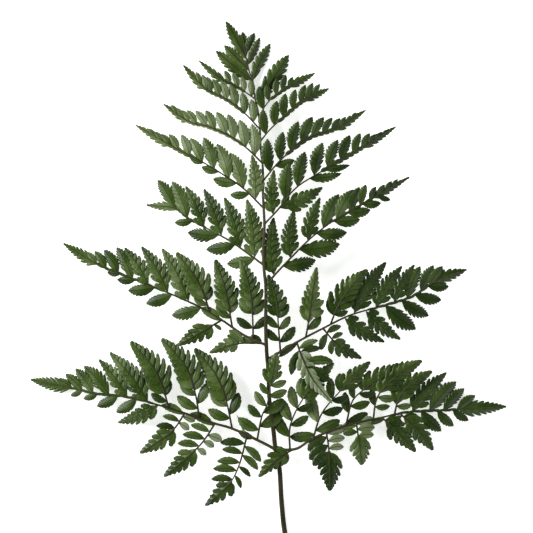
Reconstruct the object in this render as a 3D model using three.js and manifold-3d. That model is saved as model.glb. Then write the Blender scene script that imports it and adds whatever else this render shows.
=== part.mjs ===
import * as THREE from "three";
import { mergeVertices } from "three/addons/utils/BufferGeometryUtils.js";
import Module from "manifold-3d";

// A cut frond of leatherleaf fern, lying on a table with its upper face up.
// Millimetres. X runs across the leaf, +Y points to its tip, +Z is up, and the table is z = 0.

// The frond, its stem, the midribs of its pinnae and the ribs of its divided pinnules
const LENGTH = 500;
const STEM_WIDTH_AT_CUT = 4.8;
const STEM_WIDTH_AT_TIP = 0.9;
const STEM_SIDES = 8;
const REST_LENGTH = 48;
const STEM_ARCH = 24;
const STEM_ARCH_POWER = 1.5;
const COSTA_WIDTH = 2;
const COSTA_THICKNESS = 1.8;
const RIB_WIDTH = 1.3;
const RIB_THICKNESS = 1.2;
const APEX_WIDTH = 0.63;

// The blade, and the lobes cut into it: half widths, arches, droops and drops are parts of a lobe's length
const LEAF = 0.7;
const LONG_LOBE = 34;
const LOBE_SLENDERNESS = 0.19;
const LOBE_ARCH = 0.05;
const LOBE_DROOP = 0.1;
const EDGE_DROP = 0.25;

// The room a lobe takes from the gap to the next one, and where its notch lies in that gap
const LOBE_ROOM = 0.47;
const LOBE_NOTCH = 0.4;
const LARGEST_GAP = 0.2;
const LOBE_CLEAR = 0.4;
const SHARES_APART = 0.02;
const SAME_CORNER = 0.05;
const SAME_VERTEX = 1e-4;

// The toothed end of a spray: where it starts, its half width, and its teeth and the notches after them
const EARLIEST_END = 0.1;
const END_GAP = 0.26;
const END_SLENDERNESS = 0.185;
const END_TAPER = 0.8;
const TOOTH_PLACE = 0.8;
const TOOTH_TIP_ROOM = 0.6;
const TOOTH_NOTCH = 0.6;
const COSTA_TEETH = 3;
const RIB_TEETH = 2;

// Places are read on a drawing sheet in steps of SHEET_STEP: x to the right, y towards the cut end.
const SHEET_STEP = 0.9;
const SHEET_MIDDLE = 268.5;
const SHEET_TOP = 20;
const CUT_END = SHEET_TOP + LENGTH / SHEET_STEP;

const STEM = [
  [287.5, CUT_END], [287.5, 552], [283.7, 525], [281.4, 500], [279.6, 470], [275.5, 449], [273.4, 430],
  [269.5, 400], [268, 370], [266.6, 350], [265.7, 325], [265.9, 290], [264.1, 270], [263.4, 250],
  [264.4, 225], [263, 195], [262.9, 170], [260.8, 150], [260, 130], [257.8, 110], [254.8, 97],
  [252.7, 80], [249, 70], [244.8, 50],
];

// A pinna has the height of its tip, how far its costa arches, the costa's own points, its plain
// pinnules as base and tip, and its divided pinnules as a rib with the base and tip of each leaflet.
const PINNAE = [
  {
    tipHeight: LEAF / 2, arch: 7,
    costa: [[274, 450], [259, 441], [233, 429], [213, 423], [184, 413], [158, 405], [127, 397], [97, 394],
      [70, 388]],
    tip: [30, 380],
    plain: [
      [149, 401, 109.5, 352.5], [127.5, 397, 98.5, 359.5], [109, 395, 83.5, 366], [93, 393, 75, 368.5],
      [82, 391, 65, 374], [72, 389, 57.5, 379], [158.5, 406, 117.5, 423], [137, 400, 116, 412.5],
      [118, 397, 96.5, 406.5], [98, 394, 83, 399], [82, 391, 70, 396],
    ],
    divided: [
      {
        lift: 15,
        rib: [[257.5, 440], [262, 414], [267, 398], [272, 378], [276, 356]],
        leaflets: [[258.5, 430, 238, 418], [261, 417, 248, 404.5], [264, 405, 255, 391],
          [267.5, 394, 260, 382.5], [271, 382, 264, 374], [260, 427, 283, 411],
          [263.5, 411, 284, 400], [269, 394, 287, 389.5],
          [271.5, 381, 286.5, 380.5], [274, 371, 284, 371]],
      },
      {
        rib: [[232, 430], [226.5, 402], [217, 377], [206, 362], [194.5, 348.5]],
        leaflets: [[229, 419, 208, 409.5], [226, 407, 210.5, 393], [222, 395, 203, 377],
          [230, 415, 238.5, 392.5], [227, 402, 233, 379.5], [222.5, 391, 225.5, 371.5],
          [217, 383, 220, 364]],
      },
      {
        rib: [[200, 415], [195, 392], [186, 368], [174, 352], [161.5, 338.5]],
        leaflets: [[198, 409, 177, 396], [195, 396, 180, 382], [199, 404, 206.5, 383],
          [195, 390, 202, 371], [190, 378, 196, 360]],
      },
      {
        rib: [[170, 405.5], [162, 386], [151, 365], [130.5, 341.5]],
        leaflets: [[168, 402, 151, 393.5], [163, 391, 147, 383], [158, 380, 141, 372],
          [166, 396, 169, 378.5], [161, 385, 162.5, 368.5]],
      },
      {
        lift: -7,
        rib: [[245.5, 437.5], [243, 452], [238, 468], [229, 484], [205, 506.5]],
        leaflets: [[243, 442, 220, 443], [242, 453, 219, 452], [238, 464, 214, 464],
          [232, 476, 211, 477], [226, 487, 207, 491], [244, 449, 259, 464], [240, 461, 254, 474],
          [235, 473, 243, 489]],
      },
      {
        lift: -5,
        rib: [[214, 426], [205, 439], [194, 451], [163.5, 477]],
        leaflets: [[209, 430, 190.5, 425], [204, 438, 182.5, 434.5], [197, 447, 175, 444.5],
          [208, 435, 221, 441], [200, 444, 209, 450]],
      },
      {
        lift: -4,
        rib: [[184, 415.5], [174, 429], [160, 440], [139.5, 453.5]],
        leaflets: [[179, 421, 161, 416], [173, 429, 153.5, 427], [181, 420, 191, 424],
          [174, 430, 181, 438]],
      },
    ],
  },
  {
    tipHeight: 6, arch: 3,
    costa: [[265.5, 345], [244, 335], [222, 320], [200, 307], [171, 294], [149, 285], [118.5, 273],
      [97, 264]],
    tip: [63, 243.5],
    plain: [
      [189, 302, 162, 248.5], [168.5, 293, 141.5, 246.5], [149, 284.5, 124.5, 247.5],
      [132.5, 279, 116.5, 247], [118.5, 273, 104, 249.5], [106.5, 268, 94.5, 251],
      [201, 308, 171.5, 315.5], [172, 295, 146, 303.5], [155, 288.5, 128, 290.5], [136, 281, 117, 279.5],
      [121, 274, 107, 272], [243, 336, 209.5, 352.5],
    ],
    divided: [
      {
        lift: 5,
        rib: [[253.5, 339], [252, 305], [248, 282], [241, 260]],
        leaflets: [[253, 328.5, 236.5, 317.5], [252, 314, 239, 302], [254, 329, 266, 317],
          [253, 315, 264, 300], [251.5, 301, 261, 287]],
      },
      {
        lift: 2,
        rib: [[232, 327], [228, 302], [223, 282], [215.5, 259.5]],
        leaflets: [[231, 318, 216, 305.5], [229, 307, 216, 295], [231, 313, 236, 296.5],
          [228, 300, 233, 283]],
      },
      {
        rib: [[210, 312], [203, 292], [193, 274], [176.5, 252.5]],
        leaflets: [[208, 306, 194, 297], [204, 295, 190, 286], [207.5, 301, 211, 286],
          [203, 290, 206.5, 274.5]],
      },
      {
        lift: -5,
        rib: [[222, 320.5], [206, 329], [177, 345.5]],
        leaflets: [[214, 324, 200, 316], [214, 325, 221.5, 330], [206, 330, 209, 338]],
      },
    ],
  },
  {
    tipHeight: 8, arch: 2,
    costa: [[263.5, 265], [250, 255], [230, 241], [204.5, 227], [188.5, 218.5], [174, 208]],
    tip: [146.5, 205],
    plain: [
      [255.5, 258, 247, 199.5], [241, 248, 224.5, 197.5], [221.5, 236, 204, 189], [204.5, 226, 185.5, 186],
      [188.5, 217.5, 172, 181], [175, 209, 157.5, 179.5], [255, 259, 227, 264], [236, 245, 206, 249.5],
      [219, 235.5, 187.5, 232.5], [193, 221.5, 174.5, 222.5],
    ],
  },
  {
    tipHeight: 7, arch: 2,
    costa: [[263.5, 208], [244, 189], [226, 176.5], [204, 163], [178, 149.5]],
    tip: [135, 124.5],
    plain: [
      [256.5, 200, 252, 155], [244, 188.5, 230, 152.5], [229.5, 178.5, 217, 143.5], [214.5, 169, 203.5, 137],
      [203, 162, 190.5, 138], [190, 155, 181.5, 134.5], [179, 149.5, 169, 134], [250, 194, 230, 195],
      [237, 184, 213, 179], [219, 172, 201.5, 167], [204, 163.5, 190, 158],
    ],
  },
  {
    tipHeight: 6, arch: 1.5,
    costa: [[262, 163], [246.5, 148], [228.5, 135.5], [206.5, 126], [188, 121]],
    tip: [162.5, 103],
    plain: [
      [255.5, 156, 252, 123.5], [245.5, 147.5, 239.5, 119.5], [235, 139, 228, 114],
      [226.5, 134, 216.5, 111.5], [215.5, 129, 205.5, 110], [207, 126, 195.5, 110.5], [197, 123, 187, 110],
    ],
  },
  {
    tipHeight: 5, arch: 1,
    costa: [[259.5, 129], [245, 113.5], [226, 99], [205, 88]],
    tip: [182.5, 64],
    plain: [
      [253.5, 122, 251.5, 99], [245, 113, 242, 92], [236.5, 106.5, 230, 84], [227.5, 100, 221, 80.5],
      [220, 95.5, 212.5, 78.5], [212, 91, 205, 75],
    ],
  },
  {
    tipHeight: 4, arch: 1,
    costa: [[255, 98.5], [238, 87], [219, 77]],
    tip: [198, 59.5],
    plain: [[251, 97, 250, 79], [244.5, 92, 241.5, 76], [239, 87.5, 232.5, 72.5], [231, 82.5, 224.5, 70]],
  },
  { tipHeight: 3, arch: 0, costa: [[251.5, 81], [240, 71]], tip: [215.5, 50], plain: [] },
  { tipHeight: 2.5, arch: 0, costa: [[249, 70.5], [240, 61]], tip: [224, 44.5], plain: [] },
  { tipHeight: 1.5, arch: 0, costa: [[246.5, 59], [239, 45]], tip: [225.5, SHEET_TOP], plain: [] },
  {
    tipHeight: LEAF / 2, arch: 7,
    costa: [[276, 450], [296, 449], [314, 438], [344.5, 426], [384, 417], [410, 412], [444, 410.5],
      [470, 409]],
    tip: [507, 407],
    plain: [
      [411.5, 411, 447, 372.5], [429.5, 411, 457, 381.5],
      [443.5, 410, 466, 388.5], [457, 410, 477, 396], [385, 417, 416, 452], [402, 414, 433.5, 450.5],
      [421, 412, 441.5, 431.5], [437, 411, 454, 426.5], [453, 411, 469, 421],
    ],
    divided: [
      {
        lift: 8,
        rib: [[290, 449.5], [290, 427], [299, 405], [314, 384], [333.5, 362.5]],
        leaflets: [[289, 436, 275, 415], [292, 421, 281, 398.5], [297, 410, 291, 386],
          [304, 399, 302, 377.5], [292, 426, 308.5, 416], [297, 413, 313, 404], [304, 401, 317, 391]],
      },
      {
        lift: 5,
        rib: [[313, 438], [322, 413], [342, 389], [370, 361.5]],
        leaflets: [[317, 424, 310, 393], [333, 401, 331, 378], [341, 390, 340, 373],
          [350, 381, 349, 367], [322, 413, 343, 408], [332, 403, 347, 397],
          [314, 434, 290, 437], [315, 431, 340, 420]],
      },
      {
        rib: [[346, 425], [352, 402], [362, 391], [380, 378], [404.5, 363.5]],
        leaflets: [[348, 413, 345, 392], [355, 400, 352, 384], [364, 391, 361, 377],
          [371, 386, 373, 369.5], [378, 381, 381, 368], [353, 407, 370, 402], [361, 397, 372, 395]],
      },
      {
        lift: 2,
        rib: [[373, 418], [376, 401], [383, 389], [400, 373], [422, 360.5]],
        leaflets: [[375, 404, 373, 388], [382, 395, 381, 381], [377, 407, 388.5, 407],
          [381, 399, 395, 399.5]],
      },
      {
        lift: 3,
        rib: [[395, 415], [398, 401], [407, 387], [432, 371]],
        leaflets: [[397, 405, 396, 391], [399, 407, 412, 405]],
      },
      {
        lift: 2,
        rib: [[293, 450], [277, 459], [258.5, 477]],
        leaflets: [[284, 455, 281, 467]],
      },
      {
        lift: -7,
        rib: [[327, 433], [329, 452], [330, 491.5]],
        leaflets: [[328, 436, 346, 425], [327, 439, 311, 456.5], [329, 452, 313, 468], [330, 465, 317, 478],
          [329, 443, 345.5, 439], [330, 454, 344, 451.5], [330, 466, 341, 466]],
      },
      {
        lift: -5,
        rib: [[357, 424], [359, 442], [362, 465.5]],
        leaflets: [[358, 431, 344, 431], [358.5, 440, 347, 446], [358, 430, 374, 427],
          [359, 439, 372, 438]],
      },
    ],
  },
  {
    tipHeight: 6, arch: 4,
    costa: [[267, 359], [296, 342.5], [321.5, 329], [350.5, 315], [384, 305.5], [412, 296.5], [438, 280]],
    tip: [467, 269.5],
    plain: [
      [353, 314, 386, 262], [375, 308, 402, 266], [393.5, 303, 412.5, 264.5], [407, 298.5, 424, 266],
      [420, 291, 434, 265], [430, 286, 443, 266], [343, 320, 381, 343], [366, 311, 401, 339],
      [386, 305, 416, 329.5], [402, 300, 429, 316], [416, 295, 441.5, 300], [429, 287, 449, 286.5],
    ],
    divided: [
      {
        lift: 6,
        rib: [[280.5, 351], [278.5, 328], [276, 300], [268, 274.5]],
        leaflets: [[280, 341, 266, 328.5], [278.5, 328, 266, 315], [277, 315, 266, 303],
          [280.5, 342, 295, 326.5], [279, 330, 290, 316], [278, 318, 288.5, 303.5],
          [277, 306, 284.5, 293]],
      },
      {
        lift: 4,
        rib: [[306, 337], [309, 318], [312, 294], [316.5, 267]],
        leaflets: [[309, 328, 322, 317], [310, 314, 324, 307], [311, 303, 324, 296]],
      },
      {
        rib: [[331, 325], [338, 306], [350, 287], [367.5, 269.5]],
        leaflets: [[333, 317, 328, 297], [337.5, 307, 334, 286], [343, 297, 341, 278],
          [335, 315, 348, 311], [340, 305, 353, 301]],
      },
      {
        lift: 3,
        rib: [[297, 342], [306, 358], [320, 377], [335, 403]],
        leaflets: [[300, 350, 292, 375], [301, 349, 319, 343], [305, 357, 326, 353]],
      },
      {
        lift: -5,
        rib: [[323, 328], [339, 346], [361.5, 358.5]],
        leaflets: [[326, 334, 321, 350], [333, 342, 333, 356], [328, 333, 342, 327],
          [336, 342, 349, 338]],
      },
    ],
  },
  {
    tipHeight: 9, arch: 3,
    costa: [[265, 286], [275.5, 274], [290, 258.7], [307.3, 241.3], [326.8, 225.4], [351.4, 210.5],
      [378, 195]],
    tip: [409.5, 177],
    plain: [
      [274, 276, 273.5, 217.5], [290, 259, 294, 209.5], [307.5, 241, 320, 197.5], [322.5, 228.5, 339, 194],
      [336, 220, 353, 189.5], [349, 212, 359.5, 187], [359.5, 205, 367, 184.5], [369.5, 199.5, 377, 186.5],
      [283, 267, 316, 260], [299, 250, 340, 244], [316, 234, 347, 232.5], [333, 221, 360, 219.5],
      [347, 213, 370.5, 210], [362, 204, 382, 203],
    ],
  },
  {
    tipHeight: 8, arch: 2,
    costa: [[263.5, 224], [278.6, 209], [296, 188], [320.6, 172], [353, 153]],
    tip: [397, 126],
    plain: [
      [271.5, 214, 274, 170], [285, 200, 289, 163], [297.5, 187, 305, 151.5], [313.5, 176, 322.5, 142.5],
      [327.5, 168, 338, 139.5], [340.5, 160, 350, 135], [353, 153, 361, 132], [279, 208, 322.5, 187.5],
      [309, 179, 342, 173.5], [325, 168, 350, 165.5],
    ],
  },
  {
    tipHeight: 6, arch: 1.5,
    costa: [[261, 181], [277, 164], [291.5, 150.4], [311, 137], [337, 128]],
    tip: [366.5, 109.5],
    plain: [
      [269, 172, 267.5, 138.5], [280, 161, 283, 131.5], [290, 151, 298.5, 121], [301.5, 143, 312.5, 116.5],
      [312, 137, 324, 117], [322, 132, 333, 117], [330, 130, 340, 117.5], [275, 166, 294.5, 160],
    ],
  },
  {
    tipHeight: 5, arch: 1,
    costa: [[259.5, 141], [270.4, 129], [284, 116.7], [303, 101]],
    tip: [329.5, 88],
    plain: [
      [265, 134, 263, 109], [274, 125, 277, 100.5], [283, 117, 285.5, 93], [292, 109, 295.5, 87],
      [300, 103, 305.5, 84.5],
    ],
  },
  {
    tipHeight: 4, arch: 1,
    costa: [[256.5, 119], [268, 102], [288, 87]],
    tip: [315.5, 72.5],
    plain: [[262.5, 109, 259, 86], [269, 101, 267, 84], [276, 95, 277, 78], [282, 91, 286, 74.5]],
  },
  {
    tipHeight: 3, arch: 0.5,
    costa: [[253, 99], [267, 86]],
    tip: [289, 54],
    plain: [[259, 93, 258, 79], [266, 87, 266, 73]],
  },
  { tipHeight: 2.5, arch: 0, costa: [[251, 80], [257, 67]], tip: [270.5, 42.5], plain: [] },
  { tipHeight: 2, arch: 0, costa: [[247, 65], [252, 54]], tip: [260, 36.5], plain: [] },
  { tipHeight: 1, arch: 0, costa: [[245, 53.5], [249, 43]], tip: [254.5, 32], plain: [] },
];
const APEX = [242.5, 31];

const wasm = await Module();
wasm.setup();

// A closed geometry as a solid: its vertices merge once only position is left.
function solid(geometry) {
  const bare = geometry.clone();
  bare.deleteAttribute("normal");
  bare.deleteAttribute("uv");
  const merged = mergeVertices(bare, SAME_VERTEX);
  return new wasm.Manifold(new wasm.Mesh({
    numProp: 3,
    vertProperties: new Float32Array(merged.attributes.position.array),
    triVerts: new Uint32Array(merged.index.array),
  }));
}

function onSheet([x, y]) {
  return new THREE.Vector2((x - SHEET_MIDDLE) * SHEET_STEP, (SHEET_TOP - y) * SHEET_STEP + LENGTH / 2);
}

// A rib is a chain of points with heights, on which a place is found by its share of the length.
class Rib {
  constructor(points, heightAt) {
    this.points = points;
    this.reach = [0];
    for (let i = 1; i < points.length; i++) {
      this.reach.push(this.reach[i - 1] + points[i].distanceTo(points[i - 1]));
    }
    this.length = this.reach.at(-1);
    this.heightAt = heightAt;
  }

  // The point, its direction and its height at a share from 0 to 1.
  at(share) {
    const way = THREE.MathUtils.clamp(share, 0, 1) * this.length;
    let i = 1;
    while (i < this.points.length - 1 && this.reach[i] < way) i++;
    const direction = this.points[i].clone().sub(this.points[i - 1]).normalize();
    const point = this.points[i - 1].clone().addScaledVector(direction, way - this.reach[i - 1]);
    return { share, point, direction, height: this.heightAt(share) };
  }

  // The place on the rib that lies nearest to a point, and the gap between them.
  nearest(point) {
    let best = { gap: Infinity, share: 0 };
    for (let i = 1; i < this.points.length; i++) {
      const start = this.points[i - 1];
      const run = this.reach[i] - this.reach[i - 1];
      const direction = this.points[i].clone().sub(start).divideScalar(run);
      const way = THREE.MathUtils.clamp(point.clone().sub(start).dot(direction), 0, run);
      const gap = start.clone().addScaledVector(direction, way).distanceTo(point);
      if (gap < best.gap) best = { gap, share: (this.reach[i - 1] + way) / this.length };
    }
    return { ...this.at(best.share), gap: best.gap };
  }

  // A corner beside the rib, to its left for side 1 and to its right for side -1.
  beside(share, side, width, thickness) {
    const { point, direction, height } = this.at(share);
    const x = point.x - side * width * direction.y;
    const y = point.y + side * width * direction.x;
    return { x, y, height, thickness };
  }
}

// A tapering stalk along a rib: a cylinder whose rings are moved to the rib's points.
function stalk(rib, shares, widthAtStart, widthAtEnd, sides) {
  const geometry = new THREE.CylinderGeometry(1, 1, 1, sides, shares.length - 1);
  geometry.rotateX(Math.PI / 2);
  geometry.rotateZ(Math.PI / sides);
  const place = geometry.attributes.position;
  for (let i = 0; i < place.count; i++) {
    const ring = Math.round((place.getZ(i) + 0.5) * (shares.length - 1));
    const spot = rib.at(shares[ring]);
    const radius = THREE.MathUtils.lerp(widthAtStart, widthAtEnd, shares[ring]) / 2;
    place.setXYZ(
      i,
      spot.point.x - spot.direction.y * place.getX(i) * radius,
      spot.point.y + spot.direction.x * place.getX(i) * radius,
      spot.height + place.getY(i) * radius,
    );
  }
  return solid(geometry);
}

// A blade from an outline of corners with heights, given clockwise: both faces are split into the same
// triangles, and a wall closes them all round. Corners that fall together are one corner.
function blade(outline) {
  const corners = outline.reverse().filter(({ x, y }, i, all) => {
    const before = all.at(i - 1);
    return Math.hypot(x - before.x, y - before.y) > SAME_CORNER;
  });
  const flat = corners.map(({ x, y }) => new THREE.Vector2(x, y));
  const count = corners.length;
  const places = [1, -1].flatMap((face) => corners.flatMap(
    ({ x, y, height, thickness }) => [x, y, height + face * thickness / 2]));
  const index = [];
  for (const [a, b, c] of THREE.ShapeUtils.triangulateShape(flat, [])) {
    index.push(a, b, c, a + count, c + count, b + count);
  }
  for (let i = 0; i < count; i++) {
    const next = (i + 1) % count;
    index.push(next, i, i + count, next, i + count, next + count);
  }
  const geometry = new THREE.BufferGeometry();
  geometry.setAttribute("position", new THREE.Float32BufferAttribute(places, 3));
  geometry.setIndex(index);
  return solid(geometry);
}

// The share along a lobe and the part of its half width, from its foot up: a short lobe is a plain
// lance, a long one is toothed.
const LANCE = [[0.26, 0.95], [0.6, 0.82]];
const TOOTHED_LANCE = [[0.2, 0.85], [0.38, 1], [0.44, 0.76], [0.6, 0.86], [0.66, 0.58], [0.8, 0.52]];

// The corners of one lobe, up the edge that looks back to the rib's foot and down the other.
function lobe(rib, spot, end, room) {
  const run = end.clone().sub(spot.point);
  const length = run.length();
  run.divideScalar(length);
  const back = new THREE.Vector2(-run.y, run.x);
  if (back.dot(spot.direction) > 0) back.negate();
  const half = Math.min(LOBE_SLENDERNESS * length, room * Math.abs(run.cross(spot.direction)));
  const corner = (share, width) => {
    const place = spot.point.clone().addScaledVector(run, share * length).addScaledVector(back, width);
    const arch = LOBE_ARCH * length * 4 * share * (1 - share) - LOBE_DROOP * length * share;
    const height = spot.height + arch - EDGE_DROP * Math.abs(width);
    return { x: place.x, y: place.y, height: Math.max(height, LEAF), thickness: LEAF };
  };
  const form = length > LONG_LOBE ? TOOTHED_LANCE : LANCE;
  return [
    ...form.map(([share, width]) => corner(share, width * half)),
    corner(1, 0),
    ...form.map(([share, width]) => corner(share, -width * half)).reverse(),
  ];
}

// A spray is one thin blade: a rib with its lobes cut to it on both sides and a toothed end. From the
// foot its outline runs up the left side, over the tip and down the right.
function spray(rib, lobes, width, thickness, endTeeth) {
  const all = lobes
    .map(([bx, by, tx, ty]) => ({ spot: rib.nearest(onSheet([bx, by])), end: onSheet([tx, ty]) }));
  const last = Math.max(EARLIEST_END, ...all.map(({ spot }) => spot.share));
  const start = last + END_GAP * (1 - last);
  const rest = (1 - last) * rib.length;
  const sides = [1, -1].map((side) => {
    const own = all
      .filter(({ spot, end }) => side * spot.direction.cross(end.clone().sub(spot.point)) > 0)
      .sort((one, other) => one.spot.share - other.spot.share);
    const grown = own.map(({ spot, end }, i) => {
      const before = i > 0 ? spot.share - own[i - 1].spot.share : 1;
      const after = i < own.length - 1 ? own[i + 1].spot.share - spot.share : 1;
      const gap = Math.min(before, after, LARGEST_GAP);
      const notch = Math.max(0, spot.share - LOBE_NOTCH * gap);
      const foot = rib.beside(notch, side, width / 2, thickness);
      const edge = lobe(rib, spot, end, LOBE_ROOM * gap * rib.length)
        .filter((corner) => rib.nearest(new THREE.Vector2(corner.x, corner.y)).gap > width / 2 + LOBE_CLEAR);
      return { from: notch, to: spot.share, corners: [foot, ...edge] };
    });
    const bends = rib.reach.slice(1, -1).map((reach) => reach / rib.length)
      .filter((share) => share < start - SHARES_APART)
      .filter((share) => grown.every(
        ({ from, to }) => share < from - SHARES_APART || share > to + SHARES_APART))
      .map((share) => ({ from: share, corners: [rib.beside(share, side, width / 2, thickness)] }));
    const corners = [
      rib.beside(0, side, width / 2, thickness),
      ...[...grown, ...bends].sort((one, other) => one.from - other.from).flatMap((step) => step.corners),
      rib.beside(start, side, width / 2, thickness),
    ];
    for (let tooth = 0; tooth < endTeeth; tooth++) {
      const share = THREE.MathUtils.lerp(start, 1, (tooth + TOOTH_PLACE) / (endTeeth + TOOTH_TIP_ROOM));
      const notch = THREE.MathUtils.lerp(start, 1, (tooth + 1) / (endTeeth + TOOTH_TIP_ROOM));
      const reach = END_SLENDERNESS * rest * (1 - END_TAPER * tooth / endTeeth);
      corners.push(rib.beside(share, side, reach, LEAF));
      corners.push(rib.beside(notch, side, TOOTH_NOTCH * reach, LEAF));
    }
    return corners;
  });
  return blade([...sides[0], rib.beside(1, 1, 0, LEAF), ...sides[1].reverse()]);
}

const stemPoints = [...STEM, APEX].map(onSheet);
const restShare = REST_LENGTH / new Rib(stemPoints).length;

// The stem lies flat on the table for its first stretch, then rises in one long arch and comes down
// again at the tip of the frond.
function stemHeight(share) {
  const width = THREE.MathUtils.lerp(STEM_WIDTH_AT_CUT, STEM_WIDTH_AT_TIP, share);
  const facetHeight = width / 2 * Math.cos(Math.PI / STEM_SIDES);
  const arched = Math.max(0, (share - restShare) / (1 - restShare));
  return facetHeight + STEM_ARCH * Math.sin(Math.PI * arched) ** STEM_ARCH_POWER;
}

const stem = new Rib(stemPoints, stemHeight);
const stemShares = [restShare, ...stem.reach.slice(0, -1).map((reach) => reach / stem.length)
  .filter((share) => Math.abs(share - restShare) > SHARES_APART)].sort((one, other) => one - other);
let frond = stalk(stem, stemShares, STEM_WIDTH_AT_CUT, STEM_WIDTH_AT_TIP, STEM_SIDES);

const apexFoot = stem.nearest(onSheet(STEM.at(-1)));
const apex = new Rib(
  [apexFoot.point, onSheet(APEX)],
  (share) => THREE.MathUtils.lerp(apexFoot.height, LEAF / 2, share),
);
frond = frond.add(spray(apex, [], APEX_WIDTH, LEAF, RIB_TEETH));

// Grow one pinna out of the stem: its costa with the plain pinnules and the toothed tip, then the
// divided pinnules out of the costa.
function pinna({ tipHeight, arch, costa: points, tip, plain, divided = [] }) {
  const foot = stem.nearest(onSheet(points[0]));
  const costa = new Rib(
    [foot.point, ...points.slice(1).map(onSheet), onSheet(tip)],
    (share) => THREE.MathUtils.lerp(foot.height, tipHeight, share) + arch * 4 * share * (1 - share),
  );
  const sprays = [spray(costa, plain, COSTA_WIDTH, COSTA_THICKNESS, COSTA_TEETH)];
  for (const { lift = 0, rib: ribPoints, leaflets } of divided) {
    const base = costa.nearest(onSheet(ribPoints[0]));
    const rib = new Rib(
      [base.point, ...ribPoints.slice(1).map(onSheet)],
      (share) => base.height + lift * share + 4 * LOBE_ARCH * rib.length * share * (1 - share),
    );
    sprays.push(spray(rib, leaflets, RIB_WIDTH, RIB_THICKNESS, RIB_TEETH));
  }
  return sprays;
}

for (const entry of PINNAE) {
  for (const part of pinna(entry)) frond = frond.add(part);
}

// Where blades close round a hollow it is filled, and a scrap that touches nothing is dropped.
const bodies = frond.decompose().sort((one, other) => other.volume() - one.volume());
const grown = bodies[0].getMesh();
const leaf = new THREE.BufferGeometry();
leaf.setAttribute("position", new THREE.BufferAttribute(new Float32Array(grown.vertProperties), 3));
leaf.setIndex(new THREE.BufferAttribute(new Uint32Array(grown.triVerts), 1));
leaf.computeVertexNormals();

const group = new THREE.Group();
const mesh = new THREE.Mesh(
  leaf,
  new THREE.MeshStandardMaterial({ color: 0x3a5a26, roughness: 0.5, metalness: 0 }),
);
mesh.name = "frond";
group.add(mesh);

export default group;
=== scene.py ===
import math

import bpy
import numpy as np
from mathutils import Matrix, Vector


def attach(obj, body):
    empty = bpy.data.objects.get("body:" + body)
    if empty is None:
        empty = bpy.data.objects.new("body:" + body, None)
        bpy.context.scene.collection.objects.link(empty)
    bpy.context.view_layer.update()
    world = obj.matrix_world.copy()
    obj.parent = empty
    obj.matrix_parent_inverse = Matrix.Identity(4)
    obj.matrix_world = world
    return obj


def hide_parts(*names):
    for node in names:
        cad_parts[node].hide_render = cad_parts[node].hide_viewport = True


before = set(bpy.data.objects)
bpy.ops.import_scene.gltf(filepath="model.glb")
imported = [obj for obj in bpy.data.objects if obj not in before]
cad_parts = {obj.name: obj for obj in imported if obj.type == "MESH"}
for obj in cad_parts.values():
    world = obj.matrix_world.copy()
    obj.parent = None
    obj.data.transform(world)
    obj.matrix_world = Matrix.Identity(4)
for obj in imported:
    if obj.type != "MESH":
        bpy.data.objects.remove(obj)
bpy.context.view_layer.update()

# The stem: a round, smooth stalk, dark green-brown below and paler grey-green in the blade, grooved
# along its upper face. It lies flat on the table for its first 48 mm, then rises in one long arch.
# Made as a tube along the drawn line, with its underside flattened where it rests.
MM = 0.001
LENGTH = 500 * MM
# Places are read off a drawing sheet: steps of 0.9 mm to the right and down from its upper left corner.
SHEET_STEP = 0.9 * MM
SHEET_MIDDLE = 268.5
SHEET_TOP = 20
CUT_END = SHEET_TOP + LENGTH / SHEET_STEP
STEM = [
    (287.5, CUT_END), (287.5, 552), (283.7, 525), (281.4, 500), (279.6, 470), (275.5, 449), (273.4, 430),
    (269.5, 400), (268, 370), (266.6, 350), (265.7, 325), (265.9, 290), (264.1, 270), (263.4, 250),
    (264.4, 225), (263, 195), (262.9, 170), (260.8, 150), (260, 130), (257.8, 110), (254.8, 97),
    (252.7, 80), (249, 70), (244.8, 50),
]
APEX = (242.5, 31)
STEM_WIDTH_AT_CUT = 4.8 * MM
STEM_WIDTH_AT_TIP = 0.9 * MM
STEM_TAPER = 1.25
STEM_SIDES = 24
STEM_GROOVE = 0.16
GROOVE_ANGLE = 0.45
STEM_ARCH = 24 * MM
ARCH_POWER = 1.5
REST_LENGTH = 48 * MM
REST_FACET = math.cos(math.pi / 8)
LINE_STEP = 0.7 * MM
LEAST_STEPS = 3
LOOK_ROUND = 0.01


def on_sheet(places):
    """Sheet places in metres: x runs right from the middle, y up from the cut end's side."""
    places = np.asarray(places, float)
    x = (places[..., 0] - SHEET_MIDDLE) * SHEET_STEP
    y = (SHEET_TOP - places[..., 1]) * SHEET_STEP + LENGTH / 2
    return np.stack([x, y], axis=-1)


def smooth_line(corners):
    """Catmull-Rom: between two corners, the cubic through both that leaves each along the line
    joining its neighbours, in even steps."""
    padded = np.vstack([2 * corners[0] - corners[1], corners, 2 * corners[-1] - corners[-2]])
    spans = []
    for a, b, c, d in zip(padded, padded[1:], padded[2:], padded[3:]):
        steps = max(LEAST_STEPS, int(np.linalg.norm(c - b) / LINE_STEP))
        t = np.linspace(0, 1, steps, endpoint=False)[:, None]
        spans.append(0.5 * (2 * b + (c - a) * t + (2 * a - 5 * b + 4 * c - d) * t**2
                            + (3 * b - 3 * c + d - a) * t**3))
    return np.vstack([*spans, corners[-1:]])


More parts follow.
